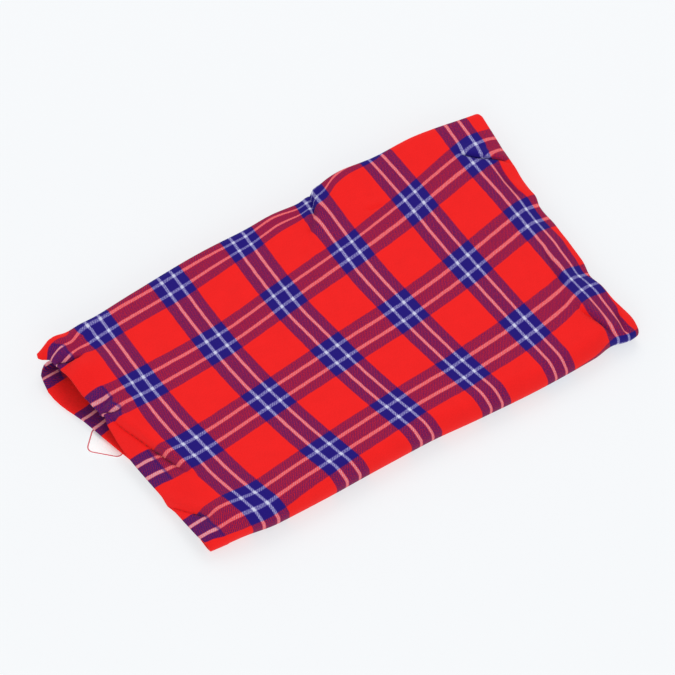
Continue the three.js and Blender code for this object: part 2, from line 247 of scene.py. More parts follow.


# %% [markdown]
# ## Small folds of the top
#
# The solid model stops at the big forms. The fine sheet also has what a hand would smooth last: ripples
# along the closed end, where the layers inside don't quite fill the fold, puckers at the hem, and a few
# creases. A ripple is a soft bump or hollow. A crease is a narrow trough along a line, with a lip of cloth
# that leans over it from one side.

# %% Small folds
RIPPLES = table(
    "name x y length width turn rise push_x push_y",
    ("knuckle at the back corner", 182, 82, 9, 14, 0, 1.4, 1, 0),
    ("fold past the back corner", 182, 64, 11, 9, 20, 2.2, 1.5, 0),
    ("dip below it", 184, 46, 8, 8, 0, -1.4, -0.6, 0),
    ("ripple at the second band", 184, 24, 8, 6, 0, 1.2, 0.5, 0),
    ("hollow between bands", 182, 4, 9, 9, 0, -1.2, -0.4, 0),
    ("ripple above the third band", 180, -24, 9, 13, 0, 1.8, 1.5, 0),
    ("hollow at the third band", 181, -50, 8, 8, 0, -1.8, -0.6, 0),
    ("ripple under the third band", 180, -70, 9, 10, 0, 2, 2, 1),
    ("hollow before the corner", 160, -56, 14, 14, 0, -1.2, 0, 0),
    ("ridge to the corner", 164, -96, 22, 6, 78, 1.4, 0, 0),
    ("pucker, first band", -180, 98, 9, 3.5, 20, 2.4, 0, 0),
    ("pucker hollow, first band", -178, 88, 9, 3.5, 20, -2.6, 0, 0),
    ("pucker, second band", -180, 48, 9, 4.5, 10, 2.6, 0, 0),
    ("pucker hollow, second band", -180, 39, 9, 3.5, 0, -3, 2.5, 0),
    ("pucker below", -180, 31, 9, 4, -10, 2.2, 1.5, 0),
    ("puff by the hem", -172, 66, 14, 12, 0, 1.6, -1, 0),
    ("puff at the tip", -181, 106, 9, 8, 0, 3.5, 0, 2),
    ("back edge by the open end", -158, 106, 12, 8, 0, 1, 0, 1.2),
    ("back edge left of the pinch", 12, 106, 18, 9, 0, 1.4, 0, 1.8),
    ("back edge right of the puff", 134, 104, 32, 14, 0, 2.2, 0, 3.4),
    ("puff below the pinch", 40, 78, 24, 14, 30, 0.8, 0, 0),
    ("soft hollow of the middle", -60, -40, 60, 20, 20, -0.5, 0, 0),
    ("soft swell of the middle", 60, -50, 60, 24, 15, 0.6, 0, 0),
    ("front swell, left", -110, -98, 40, 12, 0, 0.8, 0, 0),
    ("front hollow, middle", -20, -102, 36, 10, 0, -0.7, 0, 0),
    ("front swell, right", 90, -100, 40, 12, 0, 0.8, 0, 0),
)
CREASES = table(
    "name x1 y1 x2 y2 width depth lip pull",
    ("pinch at the back edge", 49, 110, 41, 93, 2.8, 4.5, 2, 2.5),
    ("tail of the pinch", 43, 97, 27, 81, 2.4, 2.4, 1, 0.8),
    ("end of the tail", 30, 84, 12, 64, 3, 1.1, 0.6, 0.4),
    ("nick right of the pinch", 74, 75.5, 87, 73, 1.8, 1.3, 0.6, 0.3),
    ("fold across the back corner", 160, 83, 187, 59, 2, 3, 2, 2.2),
    ("long crease of the hem", -177, 27, -157, -47, 2.2, 3.8, 2, 2),
    ("short crease of the hem", -181, -50, -163, -90, 2.1, 3, 1.6, 1.4),
    ("tuck in the first band", -190, 96, -169, 85, 2, 3.4, 1.8, 1.2),
    ("tuck in the second band", -190, 40, -168, 26, 2, 3.4, 1.8, 1.4),
    ("crease by the third band", 165, -22, 161, -56, 2.4, 2.4, 1.2, 0.8),
    ("furrow below the back corner", 176, 62, 178, 28, 2.2, 2, 1, 0.5),
    ("long crease of the right corner", 158, -78, 172, -119, 2.4, 3.4, 1.8, 1.4),
    ("short crease of the right corner", 181, -90, 176, -119, 2.2, 2.6, 1.4, 1.2),
    ("crease of the front left corner", -180, -106, -150, -101, 2.4, 1.4, 0.8, 0.6),
)
CLOSED_WAVES = table(
    "y out", (-112, 1.5), (-90, -0.3), (-73, -0.8), (-58, 0.8), (-42, 3.6), (-24, 1.8), (-2, 2.8),
    (16, 0.4), (26, 1.9), (36, 1.4), (52, 2), (66, 1.2), (80, 3.2), (104, 5.6)
)


BUMP_REACH = 3
CREASE_REACH = 6
CREASE_PAST_ENDS = 0.3
CREASE_FADE_IN = (-0.15, 0.2)
CREASE_FADE_OUT = (0.75, 1.15)
LIP_OFF = 1.9
LIP_WIDTH = 1.5


def bump_share(bump, x, y):
    """How high a swell or ripple stands at a place, as a share of its full height."""
    turn = math.radians(bump["turn"])
    dx, dy = x - bump["x"], y - bump["y"]
    if abs(dx) + abs(dy) > BUMP_REACH * (bump["length"] + bump["width"]):
        return 0.0
    run = (dx * math.cos(turn) + dy * math.sin(turn)) / bump["length"]
    side = (dy * math.cos(turn) - dx * math.sin(turn)) / bump["width"]
    return math.exp(-run * run - side * side)


def bumps_at(bumps, x, y):
    """How far a set of swells or ripples moves a place, in x, y and z."""
    shift = [0.0, 0.0, 0.0]
    for bump in bumps:
        share = bump_share(bump, x, y)
        shift[0] += bump["push_x"] * share
        shift[1] += bump["push_y"] * share
        shift[2] += bump["rise"] * share
    return shift


def creases_at(x, y):
    """How far the creases move a place: down in the trough, and up and over at its lip."""
    shift = [0.0, 0.0, 0.0]
    for crease in CREASES:
        run_x, run_y = crease["x2"] - crease["x1"], crease["y2"] - crease["y1"]
        length = math.hypot(run_x, run_y)
        run_x, run_y = run_x / length, run_y / length
        dx, dy = x - crease["x1"], y - crease["y1"]
        run = (dx * run_x + dy * run_y) / length
        side = (dx * run_y - dy * run_x) / crease["width"]
        if abs(side) > CREASE_REACH or not -CREASE_PAST_ENDS < run < 1 + CREASE_PAST_ENDS:
            continue
        fade = smoothstep(run, *CREASE_FADE_IN) * (1 - smoothstep(run, *CREASE_FADE_OUT))
        trough = math.exp(-side * side)
        lip = math.exp(-(((side + LIP_OFF) / LIP_WIDTH) ** 2))
        shift[2] += fade * (crease["lip"] * lip - crease["depth"] * trough)
        shift[0] += fade * crease["pull"] * lip * run_y
        shift[1] -= fade * crease["pull"] * lip * run_x
    return shift


# %% [markdown]
# ## How the bundle settles
#
# An even bundle becomes a real one in one function. It moves the front and back edges, makes the stack
# thicker or thinner from corner to corner, lets the top sag at the closed end, and adds the swells. The
# small folds belong to the top layer: the layer doubled under it follows them by a share only, and what
# lies deeper doesn't follow them at all. Each pair of values is the stretch over which a change comes in.

# %% Settle
THICKER_AT_OPEN_END = 0.05
THICKER_AT_BACK = 0.03
CORNER_SLUMP = 0.42
SLUMP_X = (150, 188)
SLUMP_Y = (-40, 70)
EDGE_REACH = 60
DROOP_REACH = 28
DROOP_FROM_Z = (3, 16)
DROOP_FRONT_Y = (-92, -72)
DROOP_FULL_Z = 20
TOP_Z_RANGE = (18.5, 22.5)
FINE_Z_RANGE = (16, 21)
MOUTH_Z_RANGE = (3, 8)
UNDER_SHARE = 0.35


def settle(x, y, z, outer, middle_z):
    """Where a point of the even bundle lies once the cloth has settled."""
    front_out = read_table(FRONT_EDGE, "x", "out", x) * (1 - smoothstep(y, WRAP_Y, WRAP_Y + EDGE_REACH))
    back_out = read_table(BACK_EDGE, "x", "out", x) * smoothstep(y, LOWER_BACK_Y - EDGE_REACH, LOWER_BACK_Y)
    thicker = 1 - THICKER_AT_OPEN_END * x / HALF_LENGTH + THICKER_AT_BACK * y / HALF_DEPTH
    slumped = 1 - CORNER_SLUMP * smoothstep(-x, *SLUMP_X) * smoothstep(-y, *SLUMP_Y)
    lowest = lerp(*DROOP_FROM_Z, smoothstep(y, *DROOP_FRONT_Y))
    past = max(0.0, 1 - (read_table(TOP_CLOSED_END, "y", "x", y) - x) / DROOP_REACH)
    droop = read_table(DROOPS, "y", "down", y) * past * past * smoothstep(z, lowest, DROOP_FULL_Z)
    on_top = outer * smoothstep(z, *TOP_Z_RANGE)
    in_mouth = outer * (1 - smoothstep(z, *MOUTH_Z_RANGE))
    rest = [x, y - front_out + back_out, CLOTH / 2 + (z - CLOTH / 2) * thicker * slumped - droop]
    if on_top > 0:
        rest = [a + on_top * b for a, b in zip(rest, bumps_at(TOP_SWELLS, x, y))]
    fine = smoothstep(middle_z, *FINE_Z_RANGE) * lerp(UNDER_SHARE, 1, outer)
    if fine > 0:
        for shift in (bumps_at(RIPPLES, x, y), creases_at(x, y)):
            rest = [a + fine * b for a, b in zip(rest, shift)]
    if in_mouth > 0:
        rest = [a + in_mouth * b for a, b in zip(rest, bumps_at(MOUTH_SWELLS, x, y))]
    return rest


# %% [markdown]
# ## One point of the sheet
#
# Any point of the blanket is found from two numbers: s, how far it lies along the doubled strip, and t,
# how far across. From 0 to 1, t runs over the outer layer from the hem to the closed end, from 1 to 2 it
# goes round the turn there, and from 2 to 3 it comes back on the layer doubled under. Near the hem the
# outer layer may roll inwards, or lift off what it lies on.

# %% One point of the sheet
ROLL_REACH = 30
LIFT_REACH = 34


def level_y(s):
    """The place along Y that a point of the strip would have if the top ran on flat."""
    return UPPER_BACK_Y - (s - STRIP_BY_NAME["top"]["from_s"])


def strip_ends(s):
    """The hem, the inner edge and the closed end at a distance along the strip."""
    hem = {column: read_table(OPEN_END, "s", column, s) for column in ("x", "inner", "roll", "lift")}
    closed = read_table(CLOSED_END, "s", "x", s)
    wave = read_table(CLOSED_WAVES, "y", "out", level_y(s))
    return hem, closed + wave


def sheet_point(s, t, hem, closed):
    """The place along the bundle, and the settled point, of one place of the sheet."""
    out = END_RADIUS
    if t <= 1:
        x = lerp(hem["x"], closed, t)
        rolled = max(0.0, 1 - (x - hem["x"]) / ROLL_REACH)
        out -= hem["roll"] * rolled * rolled + hem["lift"] * (1 - smoothstep(x - hem["x"], 0, LIFT_REACH))
    elif t <= 2:
        x = closed + END_RADIUS * math.sin(math.pi * (t - 1))
        out = END_RADIUS * math.cos(math.pi * (t - 1))
    else:
        x = lerp(closed, hem["inner"], t - 2)
        out = -END_RADIUS
    outer = 1.0 if t <= 1 else (out / END_RADIUS + 1) / 2
    y, z, face_y, face_z = section_at(s)
    return x, settle(x, y + face_y * out, z + face_z * out, outer, z)


# %% [markdown]
# ## The grid of the sheet
#
# The sheet is a grid of points in s and t. The steps are small where the cloth shows most: over the top,
# at the hem and at the closed end. The stretches that lie inside the bundle need far fewer.

# %% The grid
ACROSS = table(
    "start end steps", (0, 0.14, 46), (0.14, 0.5, 40), (0.5, 0.72, 34), (0.72, 0.86, 18), (0.86, 1, 40),
    (1, 2, 8), (2, 2.14, 6), (2.14, 3, 12)
)


def steps_through(stretches, start, end):
    """All the places of a row of stretches, each cut in its own number of steps."""
    places = [stretches[0][start]]
    for one in stretches:
        places += [lerp(one[start], one[end], n / one["steps"]) for n in range(1, one["steps"] + 1)]
    return places


s_places = steps_through(STRIP, "from_s", "to_s")
t_places = steps_through(ACROSS, "start", "end")
grid = []
for s in s_places:
    hem, closed = strip_ends(s)
    grid.append([sheet_point(s, t, hem, closed) for t in t_places])
ROWS, COLUMNS = len(s_places), len(t_places)
middle = [[point for _, point in row] for row in grid]
print("grid of the sheet:", ROWS, "x", COLUMNS)


# %% [markdown]
# ## Where the threads run
#
# Each point gets two thread places, counted in repeats of the check: one for the bands that run front to
# back, and one for the bands that run along the bundle. Hand-folded cloth never lies quite square, so two
# small tables say where the bands lie on the top. Where the cloth is gathered, at the pinch, at the open
# end's tip and at the closed end, the count runs faster. Past the top, it goes on by true distance over
# the hem and round the closed end, and a little closer under the front fold.

# %% Thread places
REPEAT = 64
FRONT_REPEAT = 66
UNDER_PART = 171
UNDER_REPEAT = 59.5
FRONT_Y = -99
GATHERED = 14
NEAR_CLOSED = 16
CLOSED_GATHER = 1.3
HEM_PLACE = -0.72
ROW_PLACES = table(
    "x first second third fourth gather",
    (-196, 90, 41, -17, -88, 1.9), (-187, 96, 39, -19, -89, 1.9), (-175, 96, 37, -23, -92, 1.9),
    (-160, 97, 34, -30, -96, 1), (-147, 98, 33, -32, -97, 1), (-82, 96, 35, -26, -90, 1),
    (-20, 98, 44, -20, -85, 1.4),
    (14, 101.5, 49, -17, -82, 1.9), (34, 101.5, 52, -15.5, -80, 2.4), (48, 102, 54, -14, -79, 2.1),
    (67, 107.5, 57, -11.5, -76.5, 1.8), (100, 113, 63, -6, -73, 1.5), (150, 130, 74, 5, -65.5, 1),
    (172, 142, 78, 10, -60, 1),
)
COLUMN_PLACES = table(
    "y first second third fourth fifth sixth",
    (110, -147.5, -82.5, -19.5, 45.5, 104, 170), (70, -148, -82.5, -20, 44, 108, 168.5),
    (35, -148, -82, -19.5, 44, 108.5, 170.5), (0, -146.5, -79.5, -15.5, 46.5, 110, 171.5),
    (-30, -143, -75, -11.5, 49.5, 112, 172.5), (-60, -139, -69.5, -6, 54, 114.5, 173.5),
    (-90, -133, -63, 1, 60, 117.5, 175.5), (-112, -127, -57, 6.5, 64.5, 119.5, 176),
)[::-1]


def bands_at(rows, key, at):
    """The places of all the bands of one set, at a place along them."""
    return [read_table(rows, key, name, at) for name in rows[0] if name not in (key, "gather")]


def count_between(places, at):
    """Which band a place lies at, in repeats, from the places of the bands in rising order."""
    if at <= places[0]:
        return (at - places[0]) / REPEAT
    for n in range(len(places) - 1):
        if at <= places[n + 1]:
            return n + (at - places[n]) / (places[n + 1] - places[n])
    return len(places) - 1 + (at - places[-1]) / REPEAT


def lengthwise_count(x, y):
    """The count for the bands that run along the bundle, from back to front."""
    front_band = 3
    rows = bands_at(ROW_PLACES, "x", x)
    gather = read_table(ROW_PLACES, "x", "gather", x)
    if y >= rows[0]:
        behind = y - rows[0]
        return -(min(behind, GATHERED) * gather + max(0, behind - GATHERED)) / REPEAT
    for n in range(front_band):
        if y >= rows[n + 1]:
            f = (rows[n] - y) / (rows[n] - rows[n + 1])
            return n + f + ((gather - 1) * f * (1 - f) ** 3 if n == 0 else 0)
    past_front = max(0, FRONT_Y - y)
    under = min(past_front, UNDER_PART) / UNDER_REPEAT + max(0, past_front - UNDER_PART) / REPEAT
    return front_band + (rows[front_band] - max(y, FRONT_Y)) / FRONT_REPEAT + under


threads = []
from_hem = []
for i, s in enumerate(s_places):
    y = level_y(s)
    places = bands_at(COLUMN_PLACES, "y", y)
    run = [0.0]
    for j in range(1, COLUMNS):
        run.append(run[-1] + math.dist(middle[i][j - 1], middle[i][j]))
    xs = [x for x, _ in grid[i]]
    first = next(j for j, x in enumerate(xs) if x >= places[0])
    last = max(j for j in range(COLUMNS) if t_places[j] <= 1 and xs[j] <= max(xs) - NEAR_CLOSED)
    row = []
    for j in range(COLUMNS):
        if j < first:
            across = lerp(HEM_PLACE, count_between(places, xs[first]), run[j] / run[first])
        elif j <= last:
            across = count_between(places, xs[j])
        else:
            past = run[j] - run[last]
            gathered = min(past, NEAR_CLOSED) * CLOSED_GATHER + max(0, past - NEAR_CLOSED)
            across = count_between(places, xs[last]) + gathered / REPEAT
        row.append((across, lengthwise_count(xs[j], y)))
    threads.append(row)
    from_hem.append(run)
print("width across the strip, mm:", round(max(run[-1] for run in from_hem)))
one_row, one_column = threads[ROWS // 4], [row[COLUMNS // 4] for row in threads]
print("repeats across:", round(one_row[-1][0] - one_row[0][0], 2))
print("repeats along:", round(one_column[-1][1] - one_column[0][1], 2))


# %% [markdown]
# ## The cloth gets its thickness
#
# A sheet with a thickness has an outer face, an inner face and a rounded rim. Each face lies half a
# thickness from the middle, square to it. Along the open end the cloth's edge is turned over and sewn, so a
# strip there is a little thicker, with a small step where the turned edge ends. The step fades out on the
# underside, which stays flat on the floor.

# %% Thickness and mesh
HEM_WIDTH = 14.5
HEM_STEP = 0.35
RIM_OUT = 0.55


def minus(a, b):
    return [p - q for p, q in zip(a, b)]


def cross(a, b):
    return [a[1] * b[2] - a[2] * b[1], a[2] * b[0] - a[0] * b[2], a[0] * b[1] - a[1] * b[0]]


def unit(a):
    size = math.sqrt(sum(p * p for p in a))
    return [p / size for p in a]


def way_out(i, j):
    """Square to the sheet at a point of the grid."""
    i0, i1 = max(i - 1, 0), min(i + 1, ROWS - 1)
    j0, j1 = max(j - 1, 0), min(j + 1, COLUMNS - 1)
    return unit(cross(minus(middle[i1][j], middle[i0][j]), minus(middle[i][j1], middle[i][j0])))


verts, uvs, hems = [], [], []


def add_point(i, j, offset, rim=(0, 0, 0)):
    """Puts a point of the sheet in the mesh, in metres about the middle of the bundle."""
    point = [p + o + r for p, o, r in zip(middle[i][j], offset, rim)]
    verts.append(((point[0] - MIDDLE_X) * MM, (point[1] - MIDDLE_Y) * MM, point[2] * MM))
    uvs.append(threads[i][j])
    hems.append(from_hem[i][j])
    return len(verts) - 1


normals = [[way_out(i, j) for j in range(COLUMNS)] for i in range(ROWS)]
outer_ids, inner_ids = [], []
for side, ids in ((1, outer_ids), (-1, inner_ids)):
    for i in range(ROWS):
        row = []
        for j in range(COLUMNS):
            turned_over = 1 - smoothstep(from_hem[i][j], HEM_WIDTH - 1, HEM_WIDTH + 1)
            turned_over *= smoothstep(middle[i][j][2], CLOTH, 3 * CLOTH)
            half = CLOTH / 2 + (HEM_STEP * turned_over if side > 0 else 0)
            row.append(add_point(i, j, [side * half * n for n in normals[i][j]]))
        ids.append(row)

border = [(0, j) for j in range(COLUMNS)] + [(i, COLUMNS - 1) for i in range(1, ROWS)]
border += [(ROWS - 1, j) for j in range(COLUMNS - 2, -1, -1)] + [(i, 0) for i in range(ROWS - 2, 0, -1)]
rim_ids = {}
for i, j in border:
    inward = [0.0, 0.0, 0.0]
    if i in (0, ROWS - 1):
        inward = [a + b for a, b in zip(inward, unit(minus(middle[1 if i == 0 else i - 1][j], middle[i][j])))]
    if j in (0, COLUMNS - 1):
        inward = [a + b for a, b in zip(inward, unit(minus(middle[i][1 if j == 0 else j - 1], middle[i][j])))]
    rim_ids[i, j] = add_point(i, j, (0, 0, 0), [-RIM_OUT * n for n in unit(inward)])

faces = []
for i in range(ROWS - 1):
    for j in range(COLUMNS - 1):
        a, b, c, d = (i, j), (i + 1, j), (i + 1, j + 1), (i, j + 1)
        faces.append([outer_ids[p][q] for p, q in (a, b, c, d)])
        faces.append([inner_ids[p][q] for p, q in (a, d, c, b)])
for n, a in enumerate(border):
    b = border[(n + 1) % len(border)]
    faces.append([outer_ids[a[0]][a[1]], outer_ids[b[0]][b[1]], rim_ids[b], rim_ids[a]])
    faces.append([rim_ids[a], rim_ids[b], inner_ids[b[0]][b[1]], inner_ids[a[0]][a[1]]])

shuka_mesh = bpy.data.meshes.new("shuka_cloth")
shuka_mesh.from_pydata(verts, [], faces)
thread_map = shuka_mesh.uv_layers.new(name="threads")
loop_verts = [0] * len(shuka_mesh.loops)
shuka_mesh.loops.foreach_get("vertex_index", loop_verts)
thread_map.data.foreach_set("uv", [value for v in loop_verts for value in uvs[v]])
hem_distance = shuka_mesh.attributes.new("from_hem", "FLOAT", "POINT")
hem_distance.data.foreach_set("value", hems)
shuka_mesh.polygons.foreach_set("use_smooth", [True] * len(shuka_mesh.polygons))
shuka_mesh.update()
shuka = bpy.data.objects.new("shuka_cloth", shuka_mesh)
bpy.context.scene.collection.objects.link(shuka)
print("triangles in the cloth:", 2 * len(shuka_mesh.polygons))


# %% [markdown]
# ## Helpers for materials
#
# A material is a small network of nodes, and a few helpers keep the cells short. They start a material,
# add a node with its values set, do one step of arithmetic, mix two colours, and build or place a node
# group. One more turns a colour as seen on a screen into the linear colour that Blender works in.

# %% Node helpers
def screen_colour(red, green, blue):
    """A colour given as on a screen, from 0 to 255, as Blender's linear colour."""
    parts = [c / 255 for c in (red, green, blue)]
    return (*[c / 12.92 if c <= 0.04045 else ((c + 0.055) / 1.055) ** 2.4 for c in parts], 1)


def new_material(name, settings):
    """A material with values set on its shader's own sockets. Gives back its tree and its shader too."""
    material = bpy.data.materials.new(name)
    material.use_nodes = True
    shader = material.node_tree.nodes["Principled BSDF"]
    for socket, value in settings.items():
        shader.inputs[socket].default_value = value
    return material, material.node_tree, shader


def add_node(tree, kind, values=None, **settings):
    """A node with its settings made and its input values set."""
    node = tree.nodes.new(kind)
    for name, value in settings.items():
        setattr(node, name, value)
    for name, value in (values or {}).items():
        node.inputs[name].default_value = value
    return node


def math_node(tree, operation, first, second, clamp=False):
    """One step of arithmetic on two things, each a number or a socket. None leaves the second out."""
    node = add_node(tree, "ShaderNodeMath", operation=operation, use_clamp=clamp)
    for n, value in enumerate((first, second)):
        if isinstance(value, (int, float)):
            node.inputs[n].default_value = value
        elif value is not None:
            tree.links.new(value, node.inputs[n])
    return node.outputs[0]


def mix_colours(tree, share, first, second):
    """A mix of two colours, each fixed or a socket. At a share of 1 only the second is left."""
    node = add_node(tree, "ShaderNodeMix", data_type="RGBA")
    for name, value in (("Factor_Float", share), ("A_Color", first), ("B_Color", second)):
        socket = next(one for one in node.inputs if one.identifier == name)
        if hasattr(value, "links"):
            tree.links.new(value, socket)
        else:
            socket.default_value = value
    return next(one for one in node.outputs if one.identifier == "Result_Color")


def new_group(name, inputs, outputs):
    """An empty node group with named sockets."""
    group = bpy.data.node_groups.new(name, "ShaderNodeTree")
    for in_out, sockets in (("INPUT", inputs), ("OUTPUT", outputs)):
        for label, kind in sockets.items():
            group.interface.new_socket(label, in_out=in_out, socket_type="NodeSocket" + kind)
    return group, group.nodes.new("NodeGroupInput").outputs, group.nodes.new("NodeGroupOutput").inputs


def scale_colour(tree, colour, factor):
    """A colour made lighter or darker by a factor that changes over the surface."""
    node = add_node(tree, "ShaderNodeVectorMath", operation="SCALE")
    if hasattr(colour, "links"):
        tree.links.new(colour, node.inputs[0])
    else:
        node.inputs[0].default_value = colour
    tree.links.new(factor, node.inputs["Scale"])
    return node.outputs[0]


def add_bump(tree, shader, height, strength, distance):
    """Turns a height into the fine relief of a surface."""
    node = add_node(tree, "ShaderNodeBump", {"Strength": strength, "Distance": distance})
    tree.links.new(height, node.inputs["Height"])
    tree.links.new(node.outputs[0], shader.inputs["Normal"])


def use_group(tree, group, values=None, links=None):
    """Places a node group in a material with its own values."""
    node = add_node(tree, "ShaderNodeGroup", node_tree=group)
    for name, value in (values or {}).items():
        node.inputs[name].default_value = value
    for name, socket in (links or {}).items():
        tree.links.new(socket, node.inputs[name])
    return node.outputs


# %% [markdown]
# ## Stripes of one set of threads
#
# The warp and the weft carry the same kind of stripes: a blue band, and in it two thin white lines. One
# group draws them for either set. It takes a place in repeats and gives back a mask for the band and one
# for the lines. Doing it with arithmetic keeps the edges as sharp as the weave.

# %% Stripe group
stripes, given, result = new_group(
    "stripe_set",
    {"Place": "Float", "Band half width": "Float", "Line place": "Float", "Line half width": "Float",
     "Softness": "Float"},
    {"Band": "Float", "Lines": "Float"},
)
to_repeat = math_node(stripes, "FRACT", math_node(stripes, "ADD", given["Place"], 0.5), None)
off_middle = math_node(stripes, "ABSOLUTE", math_node(stripes, "SUBTRACT", to_repeat, 0.5), None)
inside = math_node(stripes, "SUBTRACT", given["Band half width"], off_middle)
band = math_node(stripes, "ADD", math_node(stripes, "DIVIDE", inside, given["Softness"]), 0.5, clamp=True)
off_line = math_node(stripes, "ABSOLUTE", math_node(stripes, "SUBTRACT", off_middle, given["Line place"]), None)
on_line = math_node(stripes, "SUBTRACT", given["Line half width"], off_line)
line = math_node(stripes, "ADD", math_node(stripes, "DIVIDE", on_line, given["Softness"]), 0.5, clamp=True)
stripes.links.new(band, result["Band"])
stripes.links.new(line, result["Lines"])
print("group:", stripes.name)


# %% [markdown]
# ## Twill
#
# In a twill each thread passes over two and under two, one step further in every row, which makes fine
# slanting ribs. So warp and weft show about equally, and where they differ in colour the eye mixes them:
# blue over red gives the dark crimson bands, and white over red the pink lines. On the back of the cloth
# the other threads show a little more. Looseness makes the ribs less even, and contrast says how far one
# rib differs from the next. The group gives the mask of the threads on top, and a height.

# %% Twill group
twill, given, result = new_group(
    "twill_weave",
    {"Across": "Float", "Along": "Float", "Ribs": "Float", "Share on top": "Float", "Looseness": "Float",
     "Contrast": "Float"},
    {"On top": "Float", "Height": "Float"},
)
EVEN = 0.5
FLOAT_HEIGHT = 0.25
slant = math_node(twill, "MULTIPLY", math_node(twill, "ADD", given["Across"], given["Along"]), given["Ribs"])
rib = math_node(twill, "FRACT", slant, None)
from_rib = math_node(twill, "ABSOLUTE", math_node(twill, "SUBTRACT", rib, EVEN), None)
rib_wave = math_node(twill, "MULTIPLY", from_rib, 2)
thread_place = add_node(twill, "ShaderNodeCombineXYZ")
twill.links.new(given["Across"], thread_place.inputs["X"])
twill.links.new(given["Along"], thread_place.inputs["Y"])
uneven = add_node(twill, "ShaderNodeTexNoise", {"Scale": 95.0, "Detail": 1.0})
twill.links.new(thread_place.outputs[0], uneven.inputs["Vector"])
uneven_by = math_node(twill, "SUBTRACT", uneven.outputs[0], EVEN)
slip = math_node(twill, "MULTIPLY", uneven_by, given["Looseness"])
from_even = math_node(twill, "SUBTRACT", EVEN, math_node(twill, "ADD", rib_wave, slip))
seen = math_node(twill, "MULTIPLY", from_even, given["Contrast"])
on_top = math_node(twill, "ADD", given["Share on top"], seen, clamp=True)
across_less_along = math_node(twill, "SUBTRACT", given["Across"], given["Along"])
floats = math_node(twill, "MULTIPLY", across_less_along, given["Ribs"])
float_wave = math_node(twill, "SINE", math_node(twill, "MULTIPLY", floats, 2 * math.pi), None)
height = math_node(twill, "ADD", rib_wave, math_node(twill, "MULTIPLY", float_wave, FLOAT_HEIGHT))
twill.links.new(on_top, result["On top"])
twill.links.new(height, result["Height"])
print("group:", twill.name)


# %% [markdown]
# ## Yarn
#
# Spun yarn is never one flat colour: it has thicker and thinner stretches and loose fibres. This group
# gives a slow drift in brightness, a fine speckle, and a fuzz height. It reads the thread places too, so
# the yarn runs with the weave, and both the blanket and the label use it.

# %% Yarn group
yarn, given, result = new_group(
    "yarn_variation",
    {"Threads": "Vector", "Drift": "Float", "Speckle": "Float"},
    {"Brightness": "Float", "Fuzz": "Float"},
)
drift_noise = add_node(yarn, "ShaderNodeTexNoise", {"Scale": 5.0, "Detail": 2.0})
speckle_noise = add_node(yarn, "ShaderNodeTexNoise", {"Scale": 70.0, "Detail": 3.0, "Roughness": 0.7})
parts = []
for noise, amount in ((drift_noise, given["Drift"]), (speckle_noise, given["Speckle"])):
    yarn.links.new(given["Threads"], noise.inputs["Vector"])
    parts.append(math_node(yarn, "MULTIPLY", math_node(yarn, "SUBTRACT", noise.outputs[0], 0.5), amount))
yarn.links.new(math_node(yarn, "ADD", math_node(yarn, "ADD", *parts), 1.0), result["Brightness"])
yarn.links.new(speckle_noise.outputs[0], result["Fuzz"])
print("group:", yarn.name)


# %% [markdown]
# ## The shuka's cloth
#
# Now the parts come together in one material. A shuka is dry and matt, with a little sheen for the bloom of
# brushed yarn. The map of thread places drives all of it. It is shifted by a slow noise first, because no
# woven line runs quite straight.

# %% Cloth and its thread places
WANDER = 0.012

cloth, tree, surface = new_material(
    "shuka_twill",
    {"Roughness": 0.88, "Specular IOR Level": 0.15, "Sheen Weight": 0.05, "Sheen Roughness": 0.5},
)
thread_uv = add_node(tree, "ShaderNodeUVMap", uv_map="threads").outputs[0]
wander = add_node(tree, "ShaderNodeTexNoise", {"Scale": 9.0, "Detail": 2.0})
tree.links.new(thread_uv, wander.inputs["Vector"])
loose = add_node(tree, "ShaderNodeVectorMath", operation="SUBTRACT")
tree.links.new(wander.outputs["Color"], loose.inputs[0])
loose.inputs[1].default_value = (0.5, 0.5, 0.5)
small = add_node(tree, "ShaderNodeVectorMath", {"Scale": WANDER}, operation="SCALE")
tree.links.new(loose.outputs[0], small.inputs[0])
wandered = add_node(tree, "ShaderNodeVectorMath", operation="ADD")
tree.links.new(thread_uv, wandered.inputs[0])
tree.links.new(small.outputs[0], wandered.inputs[1])
places = add_node(tree, "ShaderNodeSeparateXYZ")
tree.links.new(wandered.outputs[0], places.inputs[0])
across, lengthwise = places.outputs[0], places.outputs[1]
print("lines wander by up to, mm:", round(WANDER * REPEAT / 2, 2))


# %% [markdown]
# The turned edge at the hem shows the back of the cloth, so there the weft takes over. Its stitching is a
# narrow row where the turned edge ends. Both masks come from the distance to the hem, in millimetres, which
# each point of the sheet carries.

# %% Hem masks
SEAM_HALF_WIDTH = 1.4

hem_place = add_node(tree, "ShaderNodeAttribute", attribute_name="from_hem").outputs["Fac"]
turned = math_node(tree, "SUBTRACT", HEM_WIDTH + 0.5, hem_place, clamp=True)
seam_off = math_node(tree, "ABSOLUTE", math_node(tree, "SUBTRACT", hem_place, HEM_WIDTH), None)
seam = math_node(tree, "SUBTRACT", SEAM_HALF_WIDTH, seam_off, clamp=True)
print("turned edge, mm:", HEM_WIDTH)


# %% [markdown]
# Two stripe sets colour the warp and the weft, and the twill says which of the two is seen. The widths are
# shares of one repeat. A white line is loosely woven, so it takes on some red where it crosses red threads,
# and stays nearly white where it crosses blue ones. The colours are mixed as the eye sees them.

# %% Check
RED = (0.95, 0.135, 0.13, 1)
BLUE = (0.14, 0.08, 0.465, 1)
WHITE = (0.84, 0.85, 0.93, 1)
LINE_FILL = 0.8
MORE_ON_BLUE = 0.15
WARP_STRIPES = {"Band half width": 0.2125, "Line place": 0.083, "Line half width": 0.018, "Softness": 0.012}
WEFT_STRIPES = {"Band half width": 0.228, "Line place": 0.093, "Line half width": 0.021, "Softness": 0.012}
WARP_SHARE = 0.56
TURNED_CHANGE = -0.28
SEAM_BLUE = 0.45


